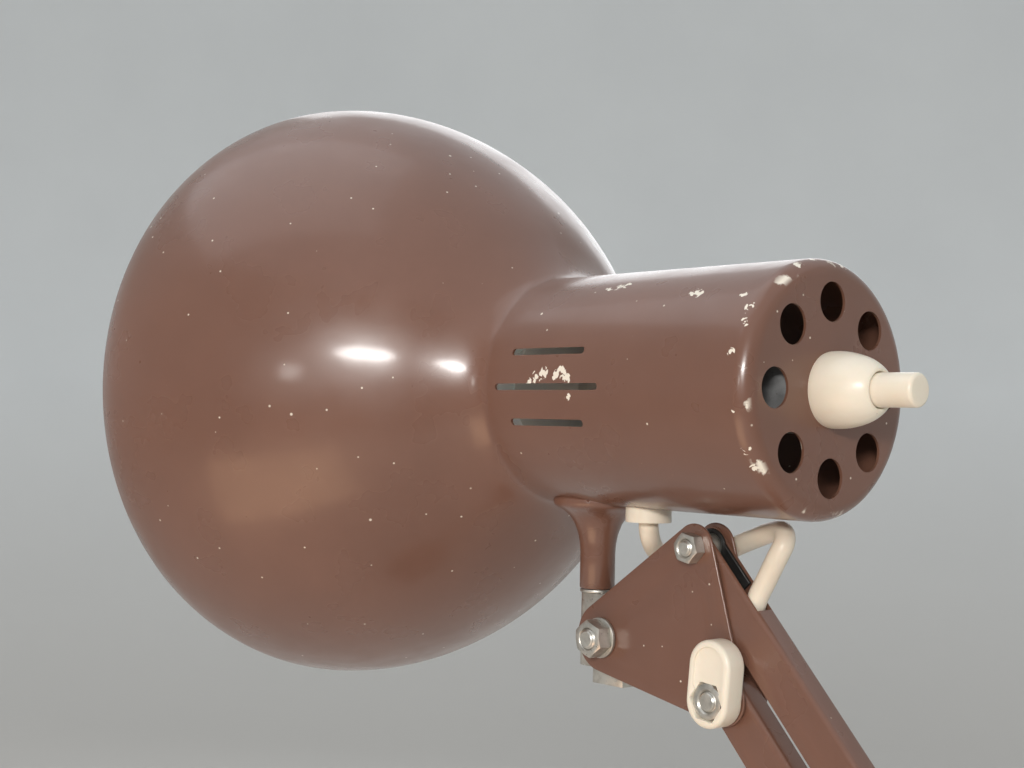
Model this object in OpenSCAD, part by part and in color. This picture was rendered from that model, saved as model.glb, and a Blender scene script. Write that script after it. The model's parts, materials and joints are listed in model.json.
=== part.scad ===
/* [Shade] */
// Diameter of the shade at its widest
shade_d = 208; // [200:1:212]
// Diameter of the neck behind the shade
neck_d = 72; // [71:0.5:73]
// Thickness of the spun metal shell
shade_wall = 0.8; // [0.7:0.1:1.2]
// Diameter of each cooling hole in the end of the neck
vent_d = 11; // [9:0.5:12]
// Number of cooling holes in the end of the neck
vent_count = 8; // [6:1:8]

/* [Arms] */
// Length of every bar from pivot to pivot
arm_length = 380; // [360:1:400]
// Angle of the lower arm above the table at rest
lower_angle = 60; // [56:1:64]
// Angle of the upper arm below the head at rest
upper_angle = 47; // [45:1:50]
// Height of a bar's side
bar_h = 13; // [12:0.5:13]
// Thickness of the sheet the bars are folded from
bar_sheet = 0.9; // [0.8:0.1:1]

/* [Brackets] */
// Thickness of each side plate
plate_t = 1; // [0.8:0.1:1.5]
// Angle of the friction lever from upright
lever_lean = 5; // [0:1:20]

/* [Foot] */
// Diameter of the weighted foot
foot_d = 220; // [210:1:230]
// Thickness of the felt under the foot
felt_t = 3; // [2:0.5:3]

/* [Cord] */
// Diameter of the flexible cord
cord_d = 6; // [5.8:0.1:6]

/* [Hidden] */
$fn = 64;

brown = [0.44, 0.3, 0.26];
cream = [0.92, 0.88, 0.79];
zinc = [0.72, 0.71, 0.68];
black = [0.06, 0.06, 0.06];
eps = 0.01;

// widths between and through the side plates
bar_half = 4;
gap_half = 4.25;
plate_out = gap_half + plate_t;
sleeve_r = 4;
run_fit = 0.05;
bolt_r = 2.45;
big_bolt_r = 3;

// pivots, from the foot upwards
pivot_gap = 30;
turret_z = 72;
pivot_lean = [12, 0, -42];
turret_left = [-pivot_gap / 2, 0, turret_z];
turret_right = [pivot_gap / 2, 0, turret_z];
lower_dir = [cos(lower_angle), 0, sin(lower_angle)];
upper_dir = [-cos(upper_angle), 0, sin(upper_angle)];
elbow_left = turret_left + arm_length * lower_dir;
elbow_right = turret_right + arm_length * lower_dir;
elbow_low = elbow_left + [22, 0, 26];
elbow_top = elbow_low - pivot_lean;
head_top = elbow_top + arm_length * upper_dir;
head_low = elbow_low + arm_length * upper_dir;
// the head's own origin is the centre of the neck's end face
head_origin = head_top + [43.9, 0, 45.8];
tilt_pivot = head_origin + [-80.9, 0, -76.2];

// shade outline
neck_r = neck_d / 2;
bowl_r = shade_d / 2;
bowl_x = -212.6;
bowl_len = 114.7;
bowl_power = 1.7;
rim_x = -223;
rim_curve = 60;
neck_blend = 16;
neck_start = -95;
end_round = 5;
vent_ring = 24;
stem_x = -88.5;
grommet_x = -67;
stem_end_z = -62;
bolt_len_z = -27;

// cord
cord_r = cord_d / 2;
cord_sides = 10;
lead_sides = 8;
gland_z = 7.5;
coil_at = [190, 50, 0];
coil_inner = 21;
coil_outer = 51;
coil_height = 12.1;

// the cord's loop from the grommet to the upper bar, from the head's origin
head_route = [[-67, 0, -30], [-67, 0, -39], [-67.4, 1.2, -44.5], [-68.2, 4.8, -48.8],
    [-66, 9, -52.5], [-59.5, 11.4, -53], [-51, 11.9, -50], [-42.5, 11.8, -46],
    [-34, 10.8, -42.8], [-26, 8.6, -40.4], [-19.6, 5, -40], [-16.4, 1.6, -42.6],
    [-17.8, 0.2, -47], [-21, 0, -53], [-24.6, 0, -59.6], [-26, 0, -66.3],
    [-22.8, 0, -72.6], [-16.4, 0, -78], [-9.1, 0, -83.1]];
// the loop round the elbow and the loop into the foot, as distances along and across the bars
elbow_along = [[-52, 0], [-38, 1.6], [-24, 7], [-11, 14], [3, 18.5]];
elbow_around = [[216, 0, 463], [226, 0, 444], [230, 0, 423], [226, 0, 402], [215, 0, 386]];
elbow_into = [[-27, 5.5], [-40, 1], [-54, 0]];
turret_route = [[27.4, 0, 99.5], [15.5, 0, 90], [6, 0, 79], [1, 0, 68], [0, 0, 58], [0, 0, 46],
    [0, 0, 32], [0, 0, 20]];
foot_route = [[0, 0, 19.5], [0, 0, 15], [0.2, 0, 11.5], [1.8, 0, 8.7], [5, 0, gland_z], [16, 0, gland_z],
    [60, 0, gland_z], [104, 0, gland_z]];
lead_route = [[142, 0, gland_z], [152, 0, 6.8], [164, 0.4, 4.6], [176, 1.2, 3.1], [190, 2, 3]];
plug_route = [[190, 92, 9], [176, 92, 9], [165, 92.3, 9], [155, 93.2, 6.6], [145.5, 95, 3.9],
    [136.5, 98, 3.6], [129.6, 102.6, 4.9], [124, 108.6, 7]];
plug_at = [124, 108.6, 7];
plug_turn = 129;

function unit(v) = v / norm(v);
function smooth_max(a, b, k) = max(a, b) + pow(max(k - abs(a - b), 0), 2) / (4 * k);
function bowl_radius(x) =
    let (s = abs(x - bowl_x) / bowl_len)
    s >= 1 ? 0 : bowl_r * pow(1 - pow(s, bowl_power), 1 / bowl_power);
function shade_radius(x) =
    x < bowl_x ? bowl_r * sqrt(1 - pow((bowl_x - x) / rim_curve, 2))
               : smooth_max(neck_r, bowl_radius(x), neck_blend);
function shade_slope(x) = (shade_radius(x + 0.1) - shade_radius(x - 0.1)) / 0.2;
function inside_of(x, wall) =
    let (slope = shade_slope(x), n = sqrt(1 + slope * slope))
    [shade_radius(x) - wall / n, x + wall * slope / n];
function arc(centre, r, from, to, steps) =
    [for (i = [0:steps]) centre + r * [cos(from + (to - from) * i / steps),
                                       sin(from + (to - from) * i / steps)]];
function reversed(list) = [for (i = [len(list) - 1:-1:0]) list[i]];

// a smooth curve through hand-set points
function curve_at(a, b, c, d, t) =
    0.5 * (2 * b + (c - a) * t + (2 * a - 5 * b + 4 * c - d) * t * t + (3 * b - a - 3 * c + d) * t * t * t);
function curve(pts, n) =
    [for (i = [0:len(pts) - 2], k = [0:n - 1])
        curve_at(pts[max(i - 1, 0)], pts[i], pts[i + 1], pts[min(i + 2, len(pts) - 1)], k / n),
     pts[len(pts) - 1]];

// a round tube swept along a path; side is a direction the path never runs in
module tube(path, r, sides, side) {
    last = len(path) - 1;
    rings = [for (i = [0:last])
        let (t = unit(path[min(i + 1, last)] - path[max(i - 1, 0)]),
             s = unit(cross(t, side)),
             b = cross(s, t))
        for (j = [0:sides - 1])
            path[i] + r * (cos(360 * j / sides) * s + sin(360 * j / sides) * b)];
    walls = [for (i = [0:last - 1], j = [0:sides - 1])
        [i * sides + j, i * sides + (j + 1) % sides,
         (i + 1) * sides + (j + 1) % sides, (i + 1) * sides + j]];
    first_cap = [for (j = [sides - 1:-1:0]) j];
    last_cap = [for (j = [0:sides - 1]) last * sides + j];
    polyhedron(rings, concat([first_cap], walls, [last_cap]));
}

// shapes shared by several pieces
module in_head() {
    translate(head_origin) children();
}

module along_x(x0, x1, r) {
    translate([x0, 0, 0]) rotate([0, 90, 0]) cylinder(r = r, h = x1 - x0);
}

module along_y(y0, y1, r) {
    translate([0, y0, 0]) rotate([-90, 0, 0]) cylinder(r = r, h = y1 - y0);
}

module side_sheet(y0, y1) {
    translate([0, y1, 0]) rotate([90, 0, 0]) linear_extrude(y1 - y0) children();
}

module pivot_hole(p, r) {
    translate(p) along_y(-20, 20, r);
}

// the flat outline round a ring of pivots, counter-clockwise, with tangent edges
function tangent(a, b, ra, rb) =
    let (d = unit(b - a), n = [d[1], -d[0]], s = (ra - rb) / norm(b - a), m = n * sqrt(1 - s * s) + d * s)
    [a + ra * m, b + rb * m];
module pivot_outline(pts, radii) {
    count = len(pts);
    polygon([for (i = [0:count - 1], q = tangent(pts[i], pts[(i + 1) % count],
                                                 radii[i], radii[(i + 1) % count])) q]);
    for (i = [0:count - 1]) translate(pts[i]) circle(r = radii[i]);
}

module side_plate(pivots, radii, holes, front) {
    difference() {
        side_sheet(front ? -plate_out : gap_half, front ? -gap_half : plate_out)
            pivot_outline([for (p = pivots) [p[0], p[2]]], radii);
        for (i = [0:len(holes) - 1])
            if (holes[i] > 0) pivot_hole(pivots[i], holes[i]);
    }
}

// a hexagon nut whose inner face is at y, growing towards the front
module hex_nut(p, y, flats, t, bore) {
    translate([p[0], y, p[2]]) rotate([90, 0, 0]) difference() {
        cylinder(r = flats / sqrt(3), h = t, $fn = 6);
        translate([0, 0, -1]) cylinder(r = bore, h = t + 2);
    }
}

// a bolt with a low round head at the back and a chamfered end at the front
module through_bolt(p, r, head_r, head_t, front) {
    translate([p[0], 0, p[2]]) {
        along_y(-front, plate_out + eps, r);
        translate([0, -front, 0]) rotate([90, 0, 0]) cylinder(r1 = r, r2 = r - 0.6, h = 0.6);
        translate([0, plate_out, 0]) rotate([-90, 0, 0]) cylinder(r1 = head_r, r2 = head_r - 1, h = head_t);
    }
}

module sleeve(p, bore) {
    translate(p) difference() {
        along_y(-gap_half, gap_half, sleeve_r);
        along_y(-9, 9, bore);
    }
}

// a folded channel bar lying along +X from its first pivot, web at the bottom
bend_r = 1.4;
module channel_section(web_off) {
    top = bar_h - web_off;
    inner = bar_half - bar_sheet;
    polygon(concat(
        [[-bar_half, top]],
        arc([-bar_half + bend_r, -web_off + bend_r], bend_r, 180, 270, 6),
        arc([bar_half - bend_r, -web_off + bend_r], bend_r, 270, 360, 6),
        [[bar_half, top], [inner, top]],
        arc([inner - bend_r / 3, -web_off + bar_sheet + bend_r / 3], bend_r / 3, 0, -90, 3),
        arc([-inner + bend_r / 3, -web_off + bar_sheet + bend_r / 3], bend_r / 3, -90, -180, 3),
        [[-inner, top]]));
}

module bar_side(web_off) {
    mid = bar_h / 2 - web_off;
    polygon(concat(arc([0, mid], bar_h / 2, 90, 270, 24), arc([arm_length, mid], bar_h / 2, -90, 90, 24)));
}

module channel_bar(web_off, cut_start, cut_end) {
    inner = bar_half - bar_sheet;
    difference() {
        intersection() {
            translate([-8, 0, 0]) rotate([90, 0, 90]) linear_extrude(arm_length + 16)
                channel_section(web_off);
            side_sheet(-6, 6) bar_side(web_off);
        }
        for (x = [0, arm_length]) translate([x, 0, 0]) along_y(-9, 9, sleeve_r + run_fit);
        if (cut_start > 0)
            translate([-9, -inner, -web_off - 1]) cube([9 + cut_start, 2 * inner, 3]);
        if (cut_end > 0)
            translate([arm_length - cut_end, -inner, -web_off - 1]) cube([9 + cut_end, 2 * inner, 3]);
    }
}

module on_upper(p) {
    translate(p) rotate([0, -(180 - upper_angle), 0]) children();
}

module on_lower(p) {
    translate(p) rotate([0, -lower_angle, 0]) children();
}

// the solid of revolution inside the shade's outer face, from the head's origin
module shade_outline() {
    steps = 52;
    xs = [for (i = [0:steps]) rim_x + i * (neck_start - rim_x) / steps];
    outer = [for (x = xs) [shade_radius(x), x]];
    outer_end = arc([neck_r - end_round, -end_round], end_round, 0, 90, 6);
    inner_end = arc([neck_r - end_round, -end_round], end_round - shade_wall, 90, 0, 6);
    inner = [for (x = reversed(xs)) inside_of(x, shade_wall)];
    polygon(concat(outer, outer_end, [[0, 0], [0, -shade_wall]], inner_end, inner));
}

module neck_solid() {
    xs = [for (i = [0:14]) -120 + i * (neck_start + 120) / 14];
    rotate([0, 90, 0]) rotate_extrude()
        polygon(concat([[0, -120]], [for (x = xs) [shade_radius(x), x]], [[neck_r, -8], [0, -8]]));
}

module side_slot(from, to, z) {
    slot_r = 1;
    for (x = [from + slot_r, to - slot_r]) translate([x, 0, z]) along_y(-50, 50, slot_r);
    translate([from + slot_r, -50, z - slot_r]) cube([to - from - 2 * slot_r, 100, 2 * slot_r]);
}

// head

module shade() {
    color(brown) in_head() difference() {
        union() {
            rotate([0, 90, 0]) rotate_extrude() shade_outline();
            rotate([0, 90, 0]) rotate_extrude() translate([shade_radius(rim_x) - 1.5, rim_x + 0.9]) circle(r = 1.15);
        }
        for (i = [0:vent_count - 1]) rotate([360 * i / vent_count, 0, 0])
            translate([0, 0, vent_ring]) along_x(-3, 3, vent_d / 2);
        along_x(-3, 3, 5.3);
        side_slot(-98, -54, 0);
        side_slot(-92, -61, 10.5);
        side_slot(-92, -61, -10.5);
        translate([stem_x, 0, -40]) cylinder(r = 3.8, h = 12);
        translate([grommet_x, 0, -40]) cylinder(r = 4.1, h = 12);
    }
}

// folded strip that carries the switch and the lamp holder
module neck_bracket() {
    sheet = 1.2;
    half = 8;
    leg_y = 17;
    color("silver") in_head() {
        difference() {
            translate([-0.8 - sheet, -leg_y, -half]) cube([sheet, 2 * leg_y, 2 * half]);
            along_x(-4, 1, 5.3);
        }
        for (s = [-1, 1]) translate([-56, s > 0 ? leg_y - sheet : -leg_y, -half])
            cube([56 - 0.8 - sheet, sheet, 2 * half]);
        difference() {
            translate([-57.2, -leg_y, -half]) cube([1.2, 2 * leg_y, 2 * half]);
            along_x(-60, -50, 4);
            for (s = [-1, 1]) translate([0, 10 * s, 0]) along_x(-60, -50, 1.6);
        }
    }
}

module lamp_holder() {
    color([0.9, 0.88, 0.83]) in_head() difference() {
        rotate([0, 90, 0]) rotate_extrude() polygon([[0, -57.3], [17, -57.3], [18, -58.5], [18, -76],
            [20, -78], [20, -107], [19, -108], [14.4, -108], [14.4, -82.4], [0, -82.4]]);
        along_x(-70, -50, 3);
        for (s = [-1, 1]) translate([0, 10 * s, 0]) along_x(-67, -50, 1.5);
    }
}

module holder_screws() {
    color("silver") in_head() for (s = [-1, 1]) translate([0, 10 * s, 0]) {
        along_x(-66, -56 + eps, 1.45);
        difference() {
            along_x(-56, -54.2, 2.8);
            translate([-55.2, -3, -0.3]) cube([2, 6, 0.6]);
        }
    }
}

module bulb_cap() {
    color([0.78, 0.74, 0.62]) in_head() rotate([0, 90, 0]) rotate_extrude()
        polygon([[0, -82.6], [4.5, -83], [6, -86], [12.6, -89], [13.3, -91], [13.3, -107], [14, -109.5],
            [0, -109.5]]);
}

module bulb_glass() {
    globe_x = -160;
    globe_r = 30;
    color([0.95, 0.95, 0.9]) in_head() rotate([0, 90, 0]) rotate_extrude()
        polygon(concat([[0, -109.7], [14, -109.7], [15, -117], [18, -128], [22.6, -138]],
            arc([0, globe_x], globe_r, 36, -90, 20)));
}

module switch_body() {
    color(cream) in_head() difference() {
        along_x(-30, -2.1, 12);
        along_x(-12, 0, 5.4);
    }
}

module switch_boss() {
    color(cream) in_head() difference() {
        rotate([0, 90, 0]) rotate_extrude() polygon(concat([[0, 0], [10.5, 0], [10.6, 3], [10.3, 6],
            [9.7, 9], [8.7, 12], [7.6, 14]], arc([5.2, 14], 2, 30, 90, 4), [[0, 16]]));
        along_x(-1, 17, 4.75);
    }
}

module switch_plunger() {
    color(cream) in_head() rotate([0, 90, 0]) rotate_extrude() polygon([[0, -5], [4.65, -5], [4.65, 27],
        [4.4, 27.7], [3.8, 28], [0, 28]]);
}

module switch_spring() {
    color("silver") in_head() difference() {
        along_x(-11.9, -5.1, 4.2);
        along_x(-13, -4, 3.2);
    }
}

module cord_grommet() {
    color(cream) in_head() difference() {
        union() {
            difference() {
                translate([grommet_x, 0, -40]) cylinder(r = 7, h = 7);
                neck_solid();
            }
            translate([grommet_x, 0, -38]) cylinder(r = 4, h = 5);
            translate([grommet_x, 0, -34.4]) cylinder(r = 6, h = 2);
        }
        translate([grommet_x, 0, -42]) cylinder(r = cord_r + 0.15, h = 12);
    }
}

module stem() {
    color(brown) in_head() difference() {
        translate([stem_x, 0, 0]) rotate_extrude() polygon([[0, stem_end_z], [5.2, stem_end_z],
            [5.5, stem_end_z + 0.3], [5.5, -51], [5.7, -48], [6.3, -45], [7.4, -42], [9, -39.5],
            [11, -37.8], [13, -36.8], [14, -36], [14.3, -35], [14.1, -31], [0, -31]]);
        neck_solid();
        translate([stem_x, 0, stem_end_z - 1]) cylinder(r = 3.55, h = 40);
    }
}

module stem_washer() {
    color(zinc) in_head() translate([stem_x, 0, -34.2]) difference() {
        cylinder(r = 8, h = 1.2);
        translate([0, 0, -1]) cylinder(r = 3.6, h = 4);
    }
}

// knuckle

module swivel_block() {
    color(zinc) difference() {
        in_head() {
            translate([-91.3, -2.7, -86]) cube([17.3, 5.4, 22.8]);
            translate([-87, -2.7, -91]) cube([13, 5.4, 5 + eps]);
            translate([stem_x, 0, -63.2]) cylinder(r = 5.3, h = 1);
            translate([stem_x, 0, -63.2]) cylinder(r = 3.5, h = 63.2 + bolt_len_z);
        }
        pivot_hole(tilt_pivot, big_bolt_r + run_fit);
    }
}

module swivel_nut() {
    color(zinc) in_head() translate([stem_x, 0, -32.9]) difference() {
        cylinder(r = 6.5, h = 4.5, $fn = 6);
        translate([0, 0, -1]) cylinder(r = 3.51, h = 8);
    }
}

module knuckle_strap() {
    outer = bar_half;
    inner = 2.75;
    left = -92.6;
    right = -71.5;
    bend = 2.2;
    color(zinc) difference() {
        in_head() translate([0, 0, -86]) linear_extrude(22.7)
            polygon(concat([[right, -outer]], [[right, -inner], [left + 1.25, -inner], [left + 1.25, inner],
                [right, inner], [right, outer]], arc([left + bend, outer - bend], bend, 90, 180, 6),
                arc([left + bend, -outer + bend], bend, 180, 270, 6)));
        pivot_hole(tilt_pivot, big_bolt_r + run_fit);
    }
}

// head bracket

head_pivots = [tilt_pivot, head_low, head_top];
head_radii = [10.5, 7.7, 7];
head_holes = [big_bolt_r + 0.02, big_bolt_r + 0.02, bolt_r + 0.05];

module head_plate_front() {
    color(brown) side_plate(head_pivots, head_radii, head_holes, true);
}

module head_plate_back() {
    color(brown) side_plate(head_pivots, head_radii, head_holes, false);
}

module tilt_washers() {
    color(zinc) translate([tilt_pivot[0], -plate_out - 1.2, tilt_pivot[2]]) difference() {
        along_y(0, 1.15, 6.2);
        along_y(-1, 3, big_bolt_r + 0.1);
    }
}

module head_bolts() {
    color(zinc) {
        through_bolt(tilt_pivot, big_bolt_r, 6, 2.6, plate_out + 6.4);
        through_bolt(head_low, big_bolt_r, 6, 2.6, plate_out + 6.2);
        through_bolt(head_top, bolt_r, 5, 2.6, plate_out + 4.4);
    }
}

module head_nuts() {
    color(zinc) {
        hex_nut(tilt_pivot, -plate_out - 1.2, 10, 5, big_bolt_r + 0.02);
        hex_nut(head_top, -plate_out, 8, 4, bolt_r + 0.02);
    }
}

module head_sleeves() {
    color(zinc) {
        sleeve(head_low, big_bolt_r + 0.02);
        sleeve(head_top, bolt_r + 0.05);
    }
}

lever_r = 7.5;
lever_reach = 10;
lever_t = 7.5;
module friction_lever() {
    color(cream) translate([head_low[0], -plate_out - 0.1, head_low[2]]) rotate([0, lever_lean, 0])
        difference() {
            union() {
                along_y(-lever_t, 0, lever_r);
                translate([0, 0, lever_reach]) along_y(-lever_t, 0, lever_r);
                translate([-lever_r, -lever_t, 0]) cube([2 * lever_r, lever_t, lever_reach]);
            }
            along_y(-20, 5, big_bolt_r + 0.1);
            translate([0, -1.7, 0]) rotate([90, 0, 0]) cylinder(r = 10.2 / sqrt(3), h = 20, $fn = 6);
        }
}

module lever_nut() {
    color(zinc) translate([head_low[0], 0, head_low[2]]) rotate([0, lever_lean, 0])
        translate([-head_low[0], 0, -head_low[2]])
            hex_nut(head_low, -plate_out - 1.9, 10, 5, big_bolt_r + 0.02);
}

// arms

upper_web_off = 5.5;
web_off = bar_h / 2;
web_cut = 27;
elbow_cut = 42;

module upper_bar_top() {
    color(brown) on_upper(elbow_top) channel_bar(upper_web_off, elbow_cut, web_cut);
}

module upper_bar_low() {
    color(brown) on_upper(elbow_low) channel_bar(web_off, 0, 0);
}

module lower_bar_right() {
    color(brown) on_lower(turret_right) channel_bar(web_off, 0, elbow_cut);
}

module lower_bar_left() {
    color(brown) on_lower(turret_left) channel_bar(web_off, 0, 0);
}

// black liner in the end of the upper bar, round the pivot sleeve
module bar_end_liner() {
    cheek = 1;
    color(black) on_upper(elbow_top) translate([arm_length, 0, 0]) difference() {
        union() {
            along_y(3.05 - cheek, 3.05, 5.4);
            translate([-17, 3.05 - cheek, -4.6]) cube([17, cheek, 9.6]);
        }
        along_y(-9, 9, sleeve_r + 0.1);
    }
}

cord_start = 52;
module upper_cord_run() {
    color(cream) on_upper(elbow_top) along_x(cord_start + 0.5, arm_length - cord_start - 0.5, cord_r);
}

module lower_cord_run() {
    color(cream) on_lower(turret_right) along_x(60.5, arm_length - 54.5, cord_r);
}

module head_cord_loop() {
    straight = head_top - cord_start * upper_dir;
    color(cream) tube(curve(concat([for (p = head_route) head_origin + p], [straight]), 3), cord_r,
        cord_sides, [0, 1, 0.001]);
}

module elbow_cord_loop() {
    upper_side = [sin(upper_angle), 0, cos(upper_angle)];
    lower_side = [sin(lower_angle), 0, -cos(lower_angle)];
    route = concat([for (q = elbow_along) elbow_top - q[0] * upper_dir + q[1] * upper_side],
        elbow_around,
        [for (q = elbow_into) elbow_right + q[0] * lower_dir + q[1] * lower_side]);
    color(cream) tube(curve(route, 3), cord_r, cord_sides, [0, 1, 0]);
}

module turret_cord_loop() {
    lower_side = [sin(lower_angle), 0, -cos(lower_angle)];
    route = concat([turret_right + 60 * lower_dir, turret_right + 46 * lower_dir - lower_side], turret_route);
    color(cream) tube(curve(route, 3), cord_r, cord_sides, [0, 1, 0]);
}

// elbow

elbow_pivots = [elbow_left, elbow_right, elbow_low, elbow_top];
elbow_holes = [for (p = elbow_pivots) bolt_r + 0.05];

module elbow_plate_front() {
    color(brown) side_plate(elbow_pivots, [9, 9, 9, 8], elbow_holes, true);
}

module elbow_plate_back() {
    color(brown) side_plate(elbow_pivots, [9, 9, 9, 8], elbow_holes, false);
}

module elbow_bolts() {
    color(zinc) for (p = elbow_pivots) through_bolt(p, bolt_r, 5, 2.6, plate_out + 4.4);
}

module elbow_nuts() {
    color(zinc) for (p = elbow_pivots) hex_nut(p, -plate_out, 8, 4, bolt_r + 0.02);
}

module elbow_sleeves() {
    color(zinc) for (p = elbow_pivots) sleeve(p, bolt_r + 0.05);
}

// turret

turret_feet = [[-14, 0, 56.5], [14, 0, 56.5]];
turret_pivots = [turret_feet[0], turret_feet[1], turret_right, turret_left];
turret_radii = [6, 6, 9, 9];
turret_holes = [for (p = turret_pivots) bolt_r + 0.05];
disc_z = 40;
disc_t = 10;
spigot_r = 8;

module turret_block() {
    color(brown) difference() {
        union() {
            rotate_extrude() polygon(concat([[0, disc_z], [27, disc_z]], arc([25, disc_z + disc_t - 4], 4, 0, 90, 6),
                [[0, disc_z + disc_t]]));
            translate([-20, -gap_half, disc_z + 5]) cube([40, 2 * gap_half, 19]);
            translate([0, 0, 12]) cylinder(r = spigot_r, h = disc_z - 12 + eps);
        }
        translate([0, 0, 0]) cylinder(r = cord_r + 0.4, h = 80);
        for (p = turret_feet) pivot_hole(p, bolt_r + 0.05);
    }
}

module turret_plate_front() {
    color(brown) side_plate(turret_pivots, turret_radii, turret_holes, true);
}

module turret_plate_back() {
    color(brown) side_plate(turret_pivots, turret_radii, turret_holes, false);
}

module turret_bolts() {
    color(zinc) for (p = turret_pivots) through_bolt(p, bolt_r, 5, 2.6, plate_out + 4.4);
}

module turret_nuts() {
    color(zinc) for (p = turret_pivots) hex_nut(p, -plate_out, 8, 4, bolt_r + 0.02);
}

module turret_sleeves() {
    color(zinc) for (p = [turret_left, turret_right]) sleeve(p, bolt_r + 0.05);
}

module ring(z, t, inner, outer) {
    translate([0, 0, z]) difference() {
        cylinder(r = outer, h = t);
        translate([0, 0, -1]) cylinder(r = inner, h = t + 2);
    }
}

module turret_washer() {
    color(black) ring(disc_z - 1, 0.95, spigot_r + 0.2, 20);
}

module spigot_nut() {
    color(zinc) translate([0, 0, 12.2]) difference() {
        cylinder(r = 15, h = 3.4, $fn = 6);
        translate([0, 0, -1]) cylinder(r = spigot_r + 0.01, h = 8);
    }
}

// foot

foot_r = foot_d / 2;
cover_wall = 1.2;
hub_r = 24;
weight_top = 24;
module foot_outline(in) {
    polygon(concat([[0, felt_t - (in > 0 ? 1 : 0)], [foot_r - in, felt_t - (in > 0 ? 1 : 0)]],
        arc([foot_r - 9, 13], 9 - in, 0, 78, 8),
        arc([hub_r + 12, 43 - in], 12, 262, 200, 6), [[hub_r, 39 - in], [0, 39 - in]]));
}

module foot_cover() {
    color(brown) difference() {
        rotate_extrude() foot_outline(0);
        rotate_extrude() foot_outline(cover_wall);
        translate([0, 0, -1]) cylinder(r = 11.05, h = 60);
        translate([0, 0, gland_z]) along_x(90, 120, 5);
    }
}

module foot_weight() {
    color([0.2, 0.2, 0.2]) difference() {
        translate([0, 0, felt_t]) cylinder(r1 = foot_r - 4, r2 = foot_r - 8, h = weight_top - felt_t - 4);
        translate([0, 0, -1]) cylinder(r = 22, h = 60);
        translate([0, -5, -1]) cube([130, 10, 13]);
        for (i = [0:2]) rotate([0, 0, 60 + 120 * i]) translate([70, 0, -1]) cylinder(r = 2.6, h = 60);
    }
}

module weight_screws() {
    color(zinc) for (i = [0:2]) rotate([0, 0, 60 + 120 * i]) translate([70, 0, 0]) {
        translate([0, 0, felt_t + 0.1]) cylinder(r = 2.5, h = 17);
    }
}

module foot_bush() {
    color(black) {
        ring(16, disc_z - 1 - 16, spigot_r + run_fit, 11);
        ring(16, 2.5, spigot_r + run_fit, 16);
    }
}

module felt_pad() {
    color([0.12, 0.12, 0.12]) difference() {
        cylinder(r = foot_r - 3, h = felt_t);
        translate([0, 0, gland_z]) along_x(100, 120, 5.2);
    }
}

module foot_cord_run() {
    color(cream) tube(curve(foot_route, 3), cord_r, cord_sides, [0, 1, 0]);
}

module cord_gland() {
    color(black) translate([0, 0, gland_z]) rotate([0, 90, 0]) difference() {
        rotate_extrude() polygon([[0, 104], [4.9, 104], [4.9, 110.2], [6.3, 110.4], [6.3, 113], [5, 114.5],
            [3.6, 142], [0, 142]]);
        translate([0, 0, 100]) cylinder(r = cord_r + 0.02, h = 50);
    }
}

module mains_lead() {
    color(cream) tube(curve(concat([[104, 0, gland_z], [123, 0, gland_z]], lead_route), 3), cord_r,
        lead_sides, [0, 0, 1]);
}

module cord_coil() {
    color(cream) translate(coil_at) rotate_extrude() polygon(concat([[coil_inner + 2, 0], [coil_outer - 2, 0],
        [coil_outer, 2], [coil_outer, 5]], [[coil_outer - 3, coil_height], [coil_inner + 3, coil_height],
        [coil_inner, 5], [coil_inner, 2]]));
}

module coil_tie() {
    color(black) translate(coil_at) rotate([0, 0, 45]) translate([coil_inner - 1, -2.5, 0]) difference() {
        cube([coil_outer - coil_inner + 2, 5, coil_height + 0.9]);
        translate([0.9, -1, -1]) cube([coil_outer - coil_inner + 0.2, 7, coil_height + 1]);
    }
}

module plug_lead() {
    color(cream) tube(curve(plug_route, 3), cord_r, lead_sides, [0, 0, 1]);
}

module at_plug() {
    translate(plug_at) rotate([0, 0, plug_turn]) children();
}

module plug_body() {
    color(cream) at_plug() {
        rotate([0, 90, 0]) cylinder(r1 = 3.6, r2 = 5.4, h = 22);
        translate([20, 0, 0]) {
            translate([0, -10.5, -6.8]) cube([36, 21, 13.6]);
            for (s = [-1, 1]) translate([0, 10.5 * s, 0]) rotate([0, 90, 0]) cylinder(r = 6.8, h = 36);
        }
    }
}

module plug_pins() {
    color("silver") at_plug() for (s = [-1, 1]) translate([56, 9.5 * s, 0]) {
        along_x(0, 17, 1.95);
        translate([17, 0, 0]) sphere(r = 1.95);
    }
}

shade();
neck_bracket();
lamp_holder();
holder_screws();
bulb_cap();
bulb_glass();
switch_body();
switch_boss();
switch_plunger();
switch_spring();
cord_grommet();
stem();
stem_washer();
swivel_block();
swivel_nut();
knuckle_strap();
tilt_washers();
head_plate_front();
head_plate_back();
head_bolts();
head_nuts();
head_sleeves();
friction_lever();
lever_nut();
head_cord_loop();
upper_bar_top();
bar_end_liner();
upper_cord_run();
upper_bar_low();
elbow_plate_front();
elbow_plate_back();
elbow_bolts();
elbow_nuts();
elbow_sleeves();
elbow_cord_loop();
lower_bar_right();
lower_cord_run();
lower_bar_left();
turret_block();
turret_plate_front();
turret_plate_back();
turret_bolts();
turret_nuts();
turret_sleeves();
turret_washer();
turret_cord_loop();
spigot_nut();
foot_cover();
foot_weight();
weight_screws();
foot_bush();
felt_pad();
foot_cord_run();
cord_gland();
mains_lead();
cord_coil();
coil_tie();
plug_lead();
plug_body();
plug_pins();
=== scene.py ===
import bpy, bmesh, json, math
from mathutils import Matrix, Vector


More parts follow.
